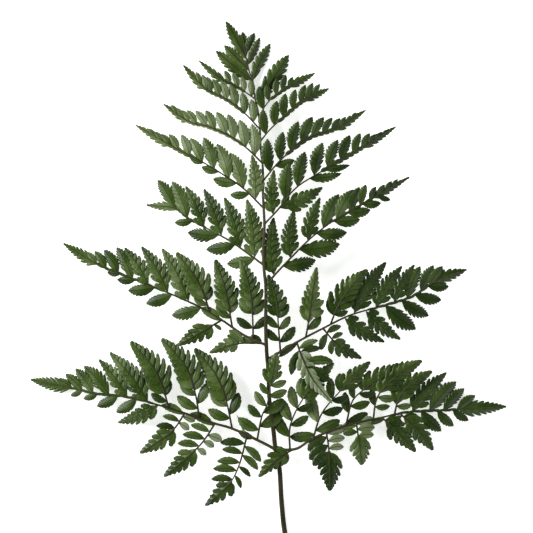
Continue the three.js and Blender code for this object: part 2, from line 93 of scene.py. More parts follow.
class Rib:
    """A smooth line on the sheet with a height rule, read by its share of the length from 0 to 1."""

    def __init__(self, corners, height):
        self.line = smooth_line(corners)
        reach = np.concatenate([[0], np.cumsum(np.linalg.norm(np.diff(self.line, axis=0), axis=1))])
        self.length = reach[-1]
        self.shares = reach / self.length
        self.height = height

    def at(self, share):
        """The place on the sheet at a share of the length."""
        return np.stack([np.interp(share, self.shares, self.line[:, axis]) for axis in (0, 1)], axis=-1)

    def direction(self, share):
        """From a little before the share to a little after it, made one long."""
        run = self.at(np.minimum(share + LOOK_ROUND, 1)) - self.at(np.maximum(share - LOOK_ROUND, 0))
        return run / np.linalg.norm(run, axis=-1, keepdims=True)

    def nearest(self, place):
        """The share of the length that comes closest to a place given on the sheet."""
        away = np.linalg.norm(self.line - on_sheet(place), axis=1)
        return float(self.shares[np.argmin(away)])


def stem_width(share):
    """From the cut end's width to the tip's with the share of the length to the 1.25."""
    return STEM_WIDTH_AT_CUT + (STEM_WIDTH_AT_TIP - STEM_WIDTH_AT_CUT) * share**STEM_TAPER


def stem_height(share):
    """The flattened half width while it rests, and past the rest a hump on it: the sine of the share
    past the rest, to the 1.5."""
    rest = REST_LENGTH / STEM_LINE_LENGTH
    arched = np.clip((share - rest) / (1 - rest), 0, 1)
    return stem_width(share) / 2 * REST_FACET + STEM_ARCH * np.abs(np.sin(np.pi * arched)) ** ARCH_POWER


def tube(path, radius, sides, groove=0.0):
    """Rings round a path: each point is the path's plus radius times (cos, sin) of its angle, across
    and up. A groove dents the top by its depth times exp(-(angle from the top / 0.45)^2). Nothing lies
    lower than the table, and a fan closes each end."""
    run = np.gradient(path, axis=0)
    run /= np.linalg.norm(run, axis=1, keepdims=True)
    across = np.cross(run, [0, 0, 1.0])
    across /= np.linalg.norm(across, axis=1, keepdims=True)
    up = np.cross(across, run)
    angle = np.arange(sides) * 2 * np.pi / sides
    from_top = (angle - np.pi / 2 + np.pi) % (2 * np.pi) - np.pi
    dent = 1 - groove * np.exp(-((from_top / GROOVE_ANGLE) ** 2))
    ring = radius[:, None] * dent[None, :]
    points = (path[:, None] + (ring * np.cos(angle))[..., None] * across[:, None]
              + (ring * np.sin(angle))[..., None] * up[:, None])
    points[..., 2] = np.maximum(points[..., 2], 0)
    count = len(path)
    i, j = np.meshgrid(np.arange(count - 1), np.arange(sides), indexing="ij")
    k = (j + 1) % sides
    quads = np.stack([i * sides + j, i * sides + k, (i + 1) * sides + k, (i + 1) * sides + j], axis=-1)
    fan = np.arange(sides)
    after = (fan + 1) % sides
    foot = np.full(sides, count * sides)
    last_ring = (count - 1) * sides
    caps = np.concatenate([
        np.stack([foot, after, fan], axis=-1),
        np.stack([foot + 1, last_ring + fan, last_ring + after], axis=-1),
    ])
    ends = path[[0, -1]].copy()
    ends[:, 2] = np.maximum(ends[:, 2], 0)
    share = np.concatenate([np.repeat(np.linspace(0, 1, count), sides), [0, 1]])
    return {
        "verts": np.vstack([points.reshape(-1, 3), ends]),
        "faces": [quads.reshape(-1, 4), caps],
        "along": share,
    }


def new_object(name, data):
    """An object in the scene, at the origin and unturned."""
    thing = bpy.data.objects.new(name, data)
    bpy.context.collection.objects.link(thing)
    return thing


def make_piece(name, parts, materials):
    """One mesh from several parts: their vertices end to end, their faces counted on from the
    vertices before, and their named values stored on the vertices."""
    verts, loops, sizes, start = [], [], [], 0
    for part in parts:
        verts.append(part["verts"])
        for faces in part["faces"]:
            loops.append((faces + start).ravel())
            sizes.append(np.full(len(faces), faces.shape[1]))
        start += len(part["verts"])
    verts, loops, sizes = np.vstack(verts), np.concatenate(loops), np.concatenate(sizes)
    mesh = bpy.data.meshes.new(name)
    mesh.vertices.add(len(verts))
    mesh.vertices.foreach_set("co", verts.ravel().astype(np.float32))
    mesh.loops.add(len(loops))
    mesh.loops.foreach_set("vertex_index", loops.astype(np.int32))
    mesh.polygons.add(len(sizes))
    starts = np.concatenate([[0], np.cumsum(sizes)[:-1]])
    mesh.polygons.foreach_set("loop_start", starts.astype(np.int32))
    for value in parts[0].keys() - {"verts", "faces"}:
        stored = np.concatenate([part[value] for part in parts])
        layer = mesh.attributes.new(value, "FLOAT", "POINT")
        layer.data.foreach_set("value", stored.astype(np.float32))
    mesh.update(calc_edges=True)
    mesh.validate()
    mesh.shade_smooth()
    for material in materials:
        mesh.materials.append(material)
    piece = new_object(name, mesh)
    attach(piece, "root")
    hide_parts("frond")
    return piece


class Paint:
    """The nodes of a material or of the room's light, and short ways to add more. A node's inputs are
    values or other nodes' outputs."""

    def __init__(self, painted):
        self.painted = painted
        self.painted.use_nodes = True
        self.tree = self.painted.node_tree

    def node(self, kind, **inputs):
        node = self.tree.nodes.new("ShaderNode" + kind)
        for socket, value in inputs.items():
            self.feed(node.inputs[socket.replace("_", " ")], value)
        return node

    def feed(self, socket, value):
        if isinstance(value, bpy.types.NodeSocket):
            self.tree.links.new(value, socket)
        else:
            socket.default_value = value

    def value(self, name):
        """A named value stored on the vertices."""
        node = self.node("Attribute")
        node.attribute_name = name
        return node.outputs["Fac"]

    def math(self, operation, *values):
        node = self.node("Math")
        node.operation = operation
        for socket, value in zip(node.inputs, values):
            self.feed(socket, value)
        return node.outputs[0]

    def ramp(self, factor, *stops):
        """Values or colours at places from 0 to 1, blended between them."""
        node = self.node("ValToRGB", Fac=factor)
        ramp = node.color_ramp
        while len(ramp.elements) < len(stops):
            ramp.elements.new(0.5)
        for element, (place, colour) in zip(ramp.elements, stops):
            element.position = place
            element.color = (*colour, 1) if isinstance(colour, tuple) else (colour,) * 3 + (1,)
        return node.outputs["Color"]

    def noise(self, scale, detail, stretch=(1, 1, 1)):
        """Soft random patches in space, from 0 to 1: the larger the scale, the finer they are."""
        place = self.node("TexCoord").outputs["Object"]
        mapping = self.node("Mapping", Vector=place, Scale=stretch)
        return self.node("TexNoise", Vector=mapping.outputs[0], Scale=scale, Detail=detail).outputs["Fac"]

    def mix(self, factor, first, second):
        """The first colour, turning into the second as the factor goes from 0 to 1."""
        node = self.tree.nodes.new("ShaderNodeMix")
        node.data_type = "RGBA"
        self.feed(node.inputs["Factor"], factor)
        self.feed(node.inputs["A"], (*first, 1) if isinstance(first, tuple) else first)
        self.feed(node.inputs["B"], (*second, 1) if isinstance(second, tuple) else second)
        return node.outputs["Result"]

    def bump(self, height, strength, distance):
        return self.node("Bump", Height=height, Strength=strength, Distance=distance).outputs[0]

    def finish(self, ending, **inputs):
        """Feeds the last node, the one that shades, and gives back what was painted."""
        for socket, value in inputs.items():
            self.feed(self.tree.nodes[ending].inputs[socket.replace("_", " ")], value)
        return self.painted


def stalk_skin(name, stops):
    """Colour runs along the stalk, broken by fine dark streaks and worn brown patches, with faint
    ridges along it. The patches are a little rougher."""
    streak_shade = (0.016, 0.013, 0.006)
    worn_shade = (0.07, 0.06, 0.025)
    paint = Paint(bpy.data.materials.new(name))
    streaks = paint.noise(scale=900, detail=3, stretch=(1, 0.04, 1))
    patches = paint.noise(scale=60, detail=4)
    along = paint.ramp(paint.value("along"), *stops)
    darker = paint.mix(paint.ramp(streaks, (0.35, 0.75), (0.65, 0.0)), along, streak_shade)
    colour = paint.mix(paint.ramp(patches, (0.35, 0.0), (0.75, 0.3)), darker, worn_shade)
    rough = paint.ramp(patches, (0.3, 0.42), (0.7, 0.6))
    ridges = paint.bump(streaks, strength=0.35, distance=0.3 * MM)
    return paint.finish("Principled BSDF", Base_Color=colour, Roughness=rough, Normal=ridges,
                        Specular_IOR_Level=0.12)


stem_corners = on_sheet([*STEM, APEX])
STEM_LINE_LENGTH = np.linalg.norm(np.diff(stem_corners, axis=0), axis=1).sum()
stem = Rib(stem_corners, stem_height)
stem_path = np.column_stack([stem.line, stem.height(stem.shares)])
stem_radius = stem_width(stem.shares) / 2
# The colours from the cut end to the tip.
stem_skin = stalk_skin("stem_skin", [
    (0.0, (0.010, 0.012, 0.004)), (0.12, (0.013, 0.015, 0.005)), (0.3, (0.018, 0.018, 0.007)),
    (0.42, (0.016, 0.012, 0.005)), (0.5, (0.040, 0.042, 0.017)), (0.7, (0.045, 0.045, 0.022)),
    (0.85, (0.030, 0.038, 0.015)), (1.0, (0.018, 0.028, 0.008)),
])
stem_piece = make_piece("stem", [tube(stem_path, stem_radius, STEM_SIDES, STEM_GROOVE)], [stem_skin])

# The lowest left pinna, the largest side branch: its costa carries ten pinnules above and eight below.
# The ones near the stem are cut again into free leaflets, the outer ones are lobed, then toothed.
# Every blade is a grid worked out along its midrib and its slanting veins, then given its thickness.
BLADE_THICKNESS = 0.4 * MM
# How much a blade arches and droops along its midrib, and its edges hang, roll and fold.
LOBE_ARCH = 0.05
LOBE_DROOP = 0.1
EDGE_DROP = 0.26
ROLL = 0.12
LOBE_FOLD = 0.35
LOWEST_BLADE = 0.5 * MM
MIDRIB_GROOVE = 0.12 * MM
# The least half width of a blade at its foot, and the share of it that is gone at the tip.
NARROWEST = 0.3 * MM
NARROWING = 0.85
# The grid's lines from edge to edge, on a blade and on a small lobe.
ACROSS = np.array([-1, -0.62, -0.22, -0.05, 0, 0.05, 0.22, 0.62, 1])
LOBE_ACROSS = np.array([-1, -0.55, 0, 0.55, 1])
# The teeth: one side's shift from the other's, how sharply they fall off ahead of the vein and behind
# it, how the notches change along the blade, and how they crowd to its tip.
SIDE_SHIFT = 0.4
AHEAD = 4.5
BEHIND = 2.2
NOTCH_POWER = 0.7
CROWDING = 0.4
# The bare share of a midrib at its foot, and the bow of the midrib.
PETIOLE = 0.02
PLAIN_BOW = 0.04
LEAFLET_BOW = 0.06
# Outlines: teeth, notches at foot and tip, slant of the veins, powers at foot and tip, steps a tooth.
LEAFLET = dict(teeth=5, notches=(0.0, 0.16), lean=0.4, rise=0.66, fall=0.82, samples=7)
SMALL = dict(teeth=7, notches=(0.05, 0.25), lean=0.8, rise=0.5, fall=0.92, samples=7)
TOOTHED = dict(teeth=8, notches=(0.34, 0.24), lean=1.0, rise=0.42, fall=0.98, samples=9)
PINNA_END = dict(notches=(0.5, 0.25), lean=1.2, rise=0.1, fall=0.8, samples=9)
WING = dict(notches=(0.4, 0.4), lean=0.8, rise=0.1, fall=0.1, samples=8)
MIDDLE = dict(notches=(0.0, 0.2), lean=0.8, rise=0.3, fall=0.6, samples=4)
LOBE = dict(teeth=3, notches=(0.0, 0.2), lean=0.5, rise=0.46, fall=0.58, samples=4)
SHORT_LOBE = dict(teeth=2, notches=(0.0, 0.16), lean=0.5, rise=0.4, fall=0.58, samples=3)
# Half the width of a blade as a share of its length.
PLAIN_SLENDER = 0.207
LOBED_SLENDER = 0.17
END_SLENDER = 0.215
LEAFLET_SLENDER = 0.22
LOBE_SLENDER = 0.28
# Lobes: those shorter than SHORT have two teeth. Those on the inside of the rib's bend have an angle
# and a room of their own. The middle blade takes a part of their reach.
SHORT = 9 * MM
LOBE_ANGLE = math.radians(34)
INNER_LOBE_ANGLE = math.radians(41)
LOBE_ROOM = 0.58
INNER_LOBE_ROOM = 0.51
LOBE_BOW = 0.07
LOBE_LIFT = 0.05 * MM
LOBE_VEIN = 0.3 * MM
LOBE_DROP = 0.15
FIRST_LOBE = 0.25
MIDDLE_PART = 0.57
LOBED_RISE = 0.07
LOBED_FALL = 0.9
PLAIN_RISE = 0.14
LOBE_PITCH = 5.8 * MM
END_PITCH = 6.4 * MM
FEWEST_LOBES = 5
NEAR_TIP = 0.98
# Pinnules shorter than these are finely or deeply toothed. Those below the costa are fuller and darker.
SMALL_PINNULE = 26 * MM
TOOTHED_PINNULE = 38 * MM
LOWER_SIDE = 1.08
LOWER_SHADE = 0.06
# How far the greens of neighbours differ.
PINNULE_TONES = 0.05
LEAFLET_TONES = 0.08
LOBE_TONES = 0.02
draw = np.random.default_rng(9)


def crowded(p):
    """Shares u of a midrib that crowd together towards its tip, while p goes up evenly. With k for the
    crowding, p = (1 - k) * u + k * u^2, solved for u."""
    u = (np.sqrt((1 - CROWDING) ** 2 + 4 * CROWDING * p) - (1 - CROWDING)) / (2 * CROWDING)
    return np.clip(u, 0, 1)


def crown_of(u, rise, fall):
    """The outline's rule u^rise * (1 - u)^fall, scaled to a peak of 1."""
    peak = rise / (rise + fall)
    return u**rise * (1 - u) ** fall / (peak**rise * (1 - peak) ** fall)


def blade(mid, heights, half, tone, back, petiole, teeth, notches, lean, rise, fall, samples,
          across=ACROSS, shift=SIDE_SHIFT, drop=EDGE_DROP):
    """A blade over its midrib (share u) and its veins (v from -1 to 1). A vein reaches v * half *
    u^rise * (1 - u)^fall sideways, scaled to a peak of 1, and lean times that forwards. In a tooth the
    reach falls off by the notch's depth times |2x - 1|^n, x being the place in the tooth. There n is
    larger ahead of the vein than behind it, so that the teeth point forwards. The notches change in
    depth with u^0.7. The height is the midrib's, less what the edges drop, roll and fold along the
    veins, each in step with the vein's reach, and less the groove along the midrib."""
    count = len(mid)
    u = crowded(np.linspace(0, 1, teeth * samples + 1))
    run = np.gradient(mid, axis=0)
    run /= np.linalg.norm(run, axis=1, keepdims=True)
    side = np.stack([-run[:, 1], run[:, 0]], axis=-1)
    crown = crown_of(np.clip((u - petiole) / (1 - petiole), 0, 1), rise, fall)
    v = across[None, :]
    row = np.linspace(0, teeth, count)[:, None] + shift * (v > 0)
    from_vein = np.abs(2 * (row % 1) - 1) ** np.where(row % 1 > 0.5, AHEAD, BEHIND)
    depth = (notches[0] + (notches[1] - notches[0]) * u**NOTCH_POWER)[:, None]
    reach = half * crown[:, None] * (1 - depth * from_vein)
    offset = v * np.maximum(reach, NARROWEST * (1 - NARROWING * u)[:, None])
    away = np.abs(offset)
    forward = lean * away
    length = np.linalg.norm(np.diff(mid, axis=0), axis=1).sum()
    plan = mid[:, None] + forward[..., None] * run[:, None] + offset[..., None] * side[:, None]
    height = np.interp(np.clip(u[:, None] + forward / length, 0, 1), u, heights)
    height = height - drop * away + ROLL * back * offset
    height = height - LOBE_FOLD * depth * away * from_vein
    height = height - MIDRIB_GROOVE * (v == 0)
    height = np.maximum(height, LOWEST_BLADE)
    columns = len(across)
    i, j = np.meshgrid(np.arange(count - 1), np.arange(columns - 1), indexing="ij")
    quads = np.stack([i * columns + j, (i + 1) * columns + j, (i + 1) * columns + j + 1,
                      i * columns + j + 1], axis=-1)
    return {
        "verts": np.concatenate([plan, height[..., None]], axis=-1).reshape(-1, 3),
        "faces": [quads.reshape(-1, 4)],
        "vein_row": row.ravel(),
        "from_midrib": away.ravel(),
        "to_edge": np.tile(np.abs(across), count),
        # The tone: random differences, plus painted sheen where it is set high.
        "tone": np.full(count * columns, tone),
    }


def midrib_to(rib, base, tip, bow):
    """The midrib of a part that grows from a rib, and the side of it, 1 or -1, that looks back to the
    rib's foot. It bows to that side. Its height is the rib's there, plus rise * 4s(1 - s) and less a
    droop in step with s."""
    share = rib.nearest(base)
    start, end = rib.at(share), on_sheet(tip)
    length = np.linalg.norm(end - start)
    side = np.array([start[1] - end[1], end[0] - start[0]]) / length
    back = -np.sign(side @ rib.direction(share))
    foot = rib.height(share)
    middle = (start + end) / 2 + bow * length * back * side
    rise = LOBE_ARCH * length
    return Rib(np.array([start, middle, end]),
               lambda s: foot + rise * 4 * s * (1 - s) - LOBE_DROOP * length * s), back


def lance(rib, base, tip, slender, tone, bow, form):
    """An undivided blade on its own midrib."""
    line, back = midrib_to(rib, base, tip, bow)
    u = crowded(np.linspace(0, 1, form["teeth"] * form["samples"] + 1))
    return blade(line.at(u), line.height(u), slender * line.length, tone, back, PETIOLE, **form)


def toothed_stretch(rib, start, end, half, teeth, tone, form):
    """A toothed blade on both sides of a stretch of a rib, between two shares of it."""
    shares = start + (end - start) * crowded(np.linspace(0, 1, teeth * form["samples"] + 1))
    return blade(rib.at(shares), rib.height(shares), half, tone, 1, 0, teeth, **form)


def lobed(rib, start, half, tone, count, rise=LOBED_RISE):
    """A blade cut into lobes, on the stretch of a rib from a share to its tip. Lobes stand at an angle on
    each side, their feet crowded towards the tip. A lobe reaches half * u^rise * (1 - u)^fall sideways,
    scaled to a peak of 1. It is as wide as its room, arches by 4t(1 - t) along itself and hangs in step
    with t. A middle blade along the rib joins them."""
    length = (1 - start) * rib.length
    early = rib.direction(start)
    late = rib.direction(NEAR_TIP)
    inside = np.sign(early[0] * late[1] - early[1] * late[0])
    parts = [toothed_stretch(rib, start, 1, half * MIDDLE_PART, count, tone, MIDDLE)]
    for side in (1, -1):
        angle = INNER_LOBE_ANGLE if side == inside else LOBE_ANGLE
        room = INNER_LOBE_ROOM if side == inside else LOBE_ROOM
        for number in range(count):
            u = crowded((number + FIRST_LOBE + SIDE_SHIFT * (side < 0)) / count)
            share = start + (1 - start) * u
            pitch = length / (count * (1 - CROWDING + 2 * CROWDING * u))
            reach = half * crown_of(u, rise, LOBED_FALL) / math.sin(angle)
            run = rib.direction(share)
            out = side * np.array([-run[1], run[0]])
            towards = math.cos(angle) * run + math.sin(angle) * out
            rear = math.sin(angle) * run - math.cos(angle) * out
            form = LOBE if reach > SHORT else SHORT_LOBE
            t = crowded(np.linspace(0, 1, form["teeth"] * form["samples"] + 1))
            hump = 4 * t * (1 - t)
            mid = rib.at(share) + reach * (t[:, None] * towards - LOBE_BOW * hump[:, None] * rear)
            along = np.clip(share + reach * math.cos(angle) * t / rib.length, 0, 1)
            heights = (rib.height(along) + LOBE_LIFT + LOBE_ARCH * reach * hump
                       - EDGE_DROP * reach * math.sin(angle) * t)
            width = min(LOBE_SLENDER * reach, room * pitch * math.sin(angle))
            own = tone + draw.normal(0, LOBE_TONES)
            lobe = blade(mid, heights, width, own, side, 0, across=LOBE_ACROSS, shift=0, drop=LOBE_DROP,
                         **form)
            lobe["from_midrib"] += LOBE_VEIN
            parts.append(lobe)
    return parts


def pinnule(costa, row, tone):
    """A plain pinnule: small ones are finely toothed, middle ones deeply toothed, long ones lobed. A row
    is its foot and its tip on the sheet, and maybe a tone and a slenderness of its own; a high tone of its
    own is painted sheen."""
    base, tip = row[:2], row[2:4]
    right, down = np.subtract(tip, base)
    length = np.hypot(right, down) * SHEET_STEP
    run = costa.direction(costa.nearest(base))
    upwards = (-run[0] * down - run[1] * right) * run[0] > 0
    own = tone + draw.normal(0, PINNULE_TONES) - (0 if upwards else LOWER_SHADE)
    tone = row[4] if len(row) > 4 else own
    fullness = 1 if upwards else LOWER_SIDE
    if length < TOOTHED_PINNULE:
        form = SMALL if length < SMALL_PINNULE else TOOTHED
        slender = row[5] if len(row) > 5 else PLAIN_SLENDER * fullness
        return [lance(costa, base, tip, slender, tone, PLAIN_BOW, form)]
    line, _ = midrib_to(costa, base, tip, PLAIN_BOW)
    half = LOBED_SLENDER * length * fullness
    return lobed(line, PETIOLE, half, tone, round(length / LOBE_PITCH), PLAIN_RISE)


def leaflet(rib, row, tone, slender):
    """A free leaflet of a divided pinnule: pointed at both ends, faintly toothed towards its tip. Its row
    is written as a pinnule's, and a high tone of its own is painted sheen."""
    tone = row[4] if len(row) > 4 else tone + draw.normal(0, LEAFLET_TONES)
    slender = row[5] if len(row) > 5 else slender
    return lance(rib, row[:2], row[2:4], slender, tone, LEAFLET_BOW, LEAFLET)


RIB_SIDES = 10
RING_STEP = 2 * MM
FEWEST_RINGS = 8


def rib_tube(rib, end, width_at_foot, width_at_end, colour_start=0.0):
    """A round rib from its foot to a share of its length, evenly tapered. Its colours may begin part of
    the way along a costa's."""
    shares = np.linspace(0, end, max(FEWEST_RINGS, int(rib.length * end / RING_STEP)))
    path = np.column_stack([rib.at(shares), rib.height(shares)])
    radius = np.linspace(width_at_foot, width_at_end, len(shares)) / 2
    part = tube(path, radius, RIB_SIDES)
    part["along"] = colour_start + (1 - colour_start) * part["along"]
    return part


def leaf_skin(name, stops, rough, vein_shade, midrib_shade, vein_height):
    """Green by the blade's tone and slow patches, the high tones giving pale grey-greens that are painted
    sheen. Side veins run at the middle of each tooth and fade at the edge, the midrib along the middle,
    and both shape a low relief under a fine pebbled grain."""
    paint = Paint(bpy.data.materials.new(name))
    patches = paint.noise(scale=45, detail=4)
    grain = paint.noise(scale=1400, detail=2)
    uneven = paint.math("MULTIPLY", paint.math("SUBTRACT", patches, 0.5), 0.9)
    green = paint.ramp(paint.math("ADD", paint.value("tone"), uneven), *stops)
    in_tooth = paint.math("FRACT", paint.value("vein_row"))
    from_vein = paint.math("ABSOLUTE", paint.math("SUBTRACT", in_tooth, 0.5))
    vein = paint.ramp(from_vein, (0.0, 1.0), (0.14, 0.0))
    inner = paint.ramp(paint.value("to_edge"), (0.55, 1.0), (0.95, 0.0))
    side_veins = paint.math("MULTIPLY", paint.math("MULTIPLY", vein, inner), 0.6)
    mm_from_midrib = paint.math("MULTIPLY", paint.value("from_midrib"), 1000)
    midrib = paint.ramp(mm_from_midrib, (0.15, 1.0), (0.55, 0.0))
    colour = paint.mix(paint.math("MULTIPLY", side_veins, 0.5), green, vein_shade)
    colour = paint.mix(paint.math("MULTIPLY", midrib, 0.7), colour, midrib_shade)
    veins = paint.math("MULTIPLY", paint.math("MAXIMUM", side_veins, midrib), vein_height)
    pebbles = paint.math("MULTIPLY", grain, 0.12)
    relief = paint.bump(paint.math("ADD", veins, pebbles), strength=0.5, distance=0.4 * MM)
    satin = paint.ramp(patches, (0.3, rough - 0.06), (0.7, rough + 0.08))
    return paint.finish("Principled BSDF", Base_Color=colour, Roughness=satin, Normal=relief,
                        Specular_IOR_Level=0.22)


# The greens from the darkest tone to the palest; the pale grey-greens at the top of the upper face's range
# are painted sheen, for leaves that catch the light from the left. The upper face is waxy with sunken
# veins, the under face paler and dull with raised ones.
leaf_top = leaf_skin(
    "leaf_upper_face",
    [(0.0, (0.004, 0.010, 0.001)), (0.3, (0.013, 0.029, 0.002)), (0.5, (0.034, 0.060, 0.008)),
     (0.7, (0.085, 0.118, 0.04)), (1.0, (0.21, 0.25, 0.155))],
    rough=0.26, vein_shade=(0.03, 0.06, 0.01), midrib_shade=(0.008, 0.012, 0.003), vein_height=-1.0,
)
leaf_under = leaf_skin(
    "leaf_under_face",
    [(0.0, (0.05, 0.085, 0.025)), (0.5, (0.095, 0.15, 0.05)), (1.0, (0.2, 0.26, 0.13))],
    rough=0.6, vein_shade=(0.09, 0.11, 0.04), midrib_shade=(0.06, 0.07, 0.02), vein_height=1.0,
)
# A costa is brown at its foot, nearly black along its middle and green at its tip.
costa_skin = stalk_skin("costa_skin", [
    (0.0, (0.050, 0.044, 0.018)), (0.3, (0.024, 0.024, 0.008)), (0.42, (0.010, 0.012, 0.003)),
    (1.0, (0.04, 0.062, 0.014)),
])


COSTA_END = 0.97
COSTA_FLARE = 0.3 * MM
COSTA_TIP_WIDTH = 0.6 * MM
COSTA_WING = 1.5 * MM
COSTA_WING_START = 0.5
COSTA_WING_TEETH = 14
RIB_END = 0.92
RIB_FOOT_WIDTH = 1.9 * MM
RIB_TIP_WIDTH = 0.7 * MM
RIB_COLOUR_START = 0.42


def give_thickness(piece):
    """The upper face stays where it is, and the paler under face stands one blade's thickness below."""
    skin = piece.modifiers.new("thickness", "SOLIDIFY")
    skin.thickness = BLADE_THICKNESS
    skin.offset = -1
    skin.material_offset = 1
    skin.material_offset_rim = 0


def grow_divided(costa, tone, rib, leaflets, lift=0, tone_here=None, slender=END_SLENDER,
                 fullness=LEAFLET_SLENDER, end_from=None):
    """A divided pinnule: its rib climbs by the lift in mm and arches by 4s(1 - s). Past the last
    leaflet, or from a given place on, it is a lobed blade."""
    base_share = costa.nearest(rib[0])
    base_height = costa.height(base_share)
    corners = np.vstack([costa.at(base_share), on_sheet(rib[1:])])
    length = np.linalg.norm(np.diff(corners, axis=0), axis=1).sum()
    line = Rib(corners, lambda s: base_height + lift * MM * s + 4 * LOBE_ARCH * length * s * (1 - s))
    shade = tone if tone_here is None else tone_here
    blades = [leaflet(line, row, shade, fullness) for row in leaflets]
    last = max(line.nearest(row[:2]) for row in leaflets)
    start = last if end_from is None else line.nearest(end_from)
    rest = (1 - start) * line.length
    blades += lobed(line, start, slender * rest, shade, max(FEWEST_LOBES, round(rest / END_PITCH)))
    return blades, rib_tube(line, RIB_END, RIB_FOOT_WIDTH, RIB_TIP_WIDTH, RIB_COLOUR_START)


def grow_pinna(name, costa, tip, tip_height, arch, tone, end, plain=(), divided=(), wing=None, width=2.4,
               end_form=PINNA_END):
    """The costa leaves the stem at its own height and comes down evenly to its tip's, plus a hump of
    arch * 4s(1 - s). Its plain and divided pinnules grow from it. The end is a toothed blade from a place
    on (the place, half the width, the teeth), and a wing one between two places. Heights and widths are
    in mm."""
    foot_share = stem.nearest(costa[0])
    foot_height = stem.height(foot_share)
    corners = np.vstack([stem.at(foot_share), on_sheet([*costa[1:], tip])])

    def height(s):
        return foot_height + (tip_height * MM - foot_height) * s + arch * MM * 4 * s * (1 - s)

    rib = Rib(corners, height)
    blades = [part for row in plain for part in pinnule(rib, row, tone)]
    stalks = [rib_tube(rib, COSTA_END, width * MM + COSTA_FLARE, COSTA_TIP_WIDTH)]
    if plain and not wing:
        blades.append(toothed_stretch(rib, COSTA_WING_START, 1, COSTA_WING, COSTA_WING_TEETH, tone, WING))
    for shoot in divided:
        blades_here, stalk = grow_divided(rib, tone, **shoot)
        blades += blades_here
        stalks.append(stalk)
    start, half, teeth = end
    blades.append(toothed_stretch(rib, rib.nearest(start), 1, half * MM, teeth, tone, end_form))
    if wing:
        first, last, half, teeth = wing
        start, end = rib.nearest(first), rib.nearest(last)
        blades.append(toothed_stretch(rib, start, end, half * MM, teeth, tone, WING))
    piece = make_piece(name, blades, [leaf_top, leaf_under])
    give_thickness(piece)
    costae = make_piece(name + "_ribs", stalks, [costa_skin])


grow_pinna(
    "pinna_left_1",
    costa=[(274, 450), (259, 441), (233, 429), (213, 423), (184, 413), (158, 405), (127, 397), (97, 394),
           (70, 388)],
    tip=(30, 380), tip_height=0.35, arch=7, tone=0.5, width=2.6,
    # Here and below, rows with a high tone of their own are painted sheen.
    plain=[
        (149, 401, 109.5, 352.5), (127.5, 397, 98.5, 359.5), (109, 395, 83.5, 366), (93, 393, 75, 368.5),
        (82, 391, 65, 374), (72, 389, 57.5, 379), (158.5, 406, 117.5, 423), (137, 400, 116, 412.5),
        (118, 397, 96.5, 406.5), (98, 394, 83, 399), (82, 391, 70, 396), (254, 440, 238, 431, 0.3),
        (243, 437, 236.5, 414.5, 1.0, 0.07),
    ],
    divided=[
        dict(lift=15, fullness=0.23, slender=0.27, rib=[
            (257.5, 440), (261.7, 416.7), (266.7, 405.5), (269.5, 392), (271.5, 379), (276.7, 352),
        ], leaflets=[
            (258.5, 430, 238, 418), (261, 417, 248, 404.5), (266, 406, 255, 391), (269, 394, 260, 382.5),
            (260, 427, 283, 411), (263.5, 413, 284, 399), (269, 396, 287, 390),
            (270.5, 386, 286.5, 380.5)]),
        dict(rib=[(232, 430), (226.5, 402), (217, 377), (206, 362), (194.5, 348.5)], leaflets=[
            (229, 419, 208, 409.5), (226, 407, 210.5, 393), (230, 415, 238.5, 392.5),
            (227, 402, 233, 379.5)]),
        dict(rib=[(200, 415), (195, 392), (186, 368), (174, 352), (161.5, 338.5)], leaflets=[
            (198, 409, 177, 396), (195, 396, 180, 382), (199, 404, 206.5, 383), (195, 390, 202, 371)]),
        dict(rib=[(170, 405.5), (162, 386), (151, 365), (130.5, 341.5)], leaflets=[
            (168, 402, 151, 393.5), (166, 396, 169, 378.5)]),
        dict(lift=-7, fullness=0.18, tone_here=0.42, rib=[
            (245.5, 437.5), (243, 452), (238, 468), (229, 484), (205, 506.5)], leaflets=[
            (243, 443, 220, 443), (242, 453, 222, 449.5), (239, 462, 217, 461.5), (235, 470, 213, 469),
            (231, 478, 211, 479.5), (244, 446, 261, 462), (242, 455, 258, 470), (238, 466, 250.5, 477),
            (234, 475, 241, 488.5)]),
        dict(lift=-5, fullness=0.185, tone_here=0.46, rib=[
            (214, 426), (205, 439), (194, 451), (163.5, 477)], leaflets=[
            (213, 425, 190, 413.5), (209, 431, 190.5, 425), (204, 438, 182.5, 434.5),
            (199, 446, 177.5, 443.5), (208, 435, 222, 441, 0.8, 0.28), (203, 441, 214, 447, 0.8, 0.3),
            (197, 449, 206, 455, 0.8, 0.3)]),
        dict(lift=-4, fullness=0.185, rib=[
            (184, 415.5), (174, 429), (160, 440), (139.5, 453.5)], leaflets=[
            (184, 415, 161, 405), (179, 421, 162.5, 416), (175, 427.5, 156, 426),
            (183, 417, 195, 421.5, 0.8, 0.28), (179, 423, 189, 430, 0.8, 0.3)]),
    ],
    end=((72, 388), 7, 9),
)

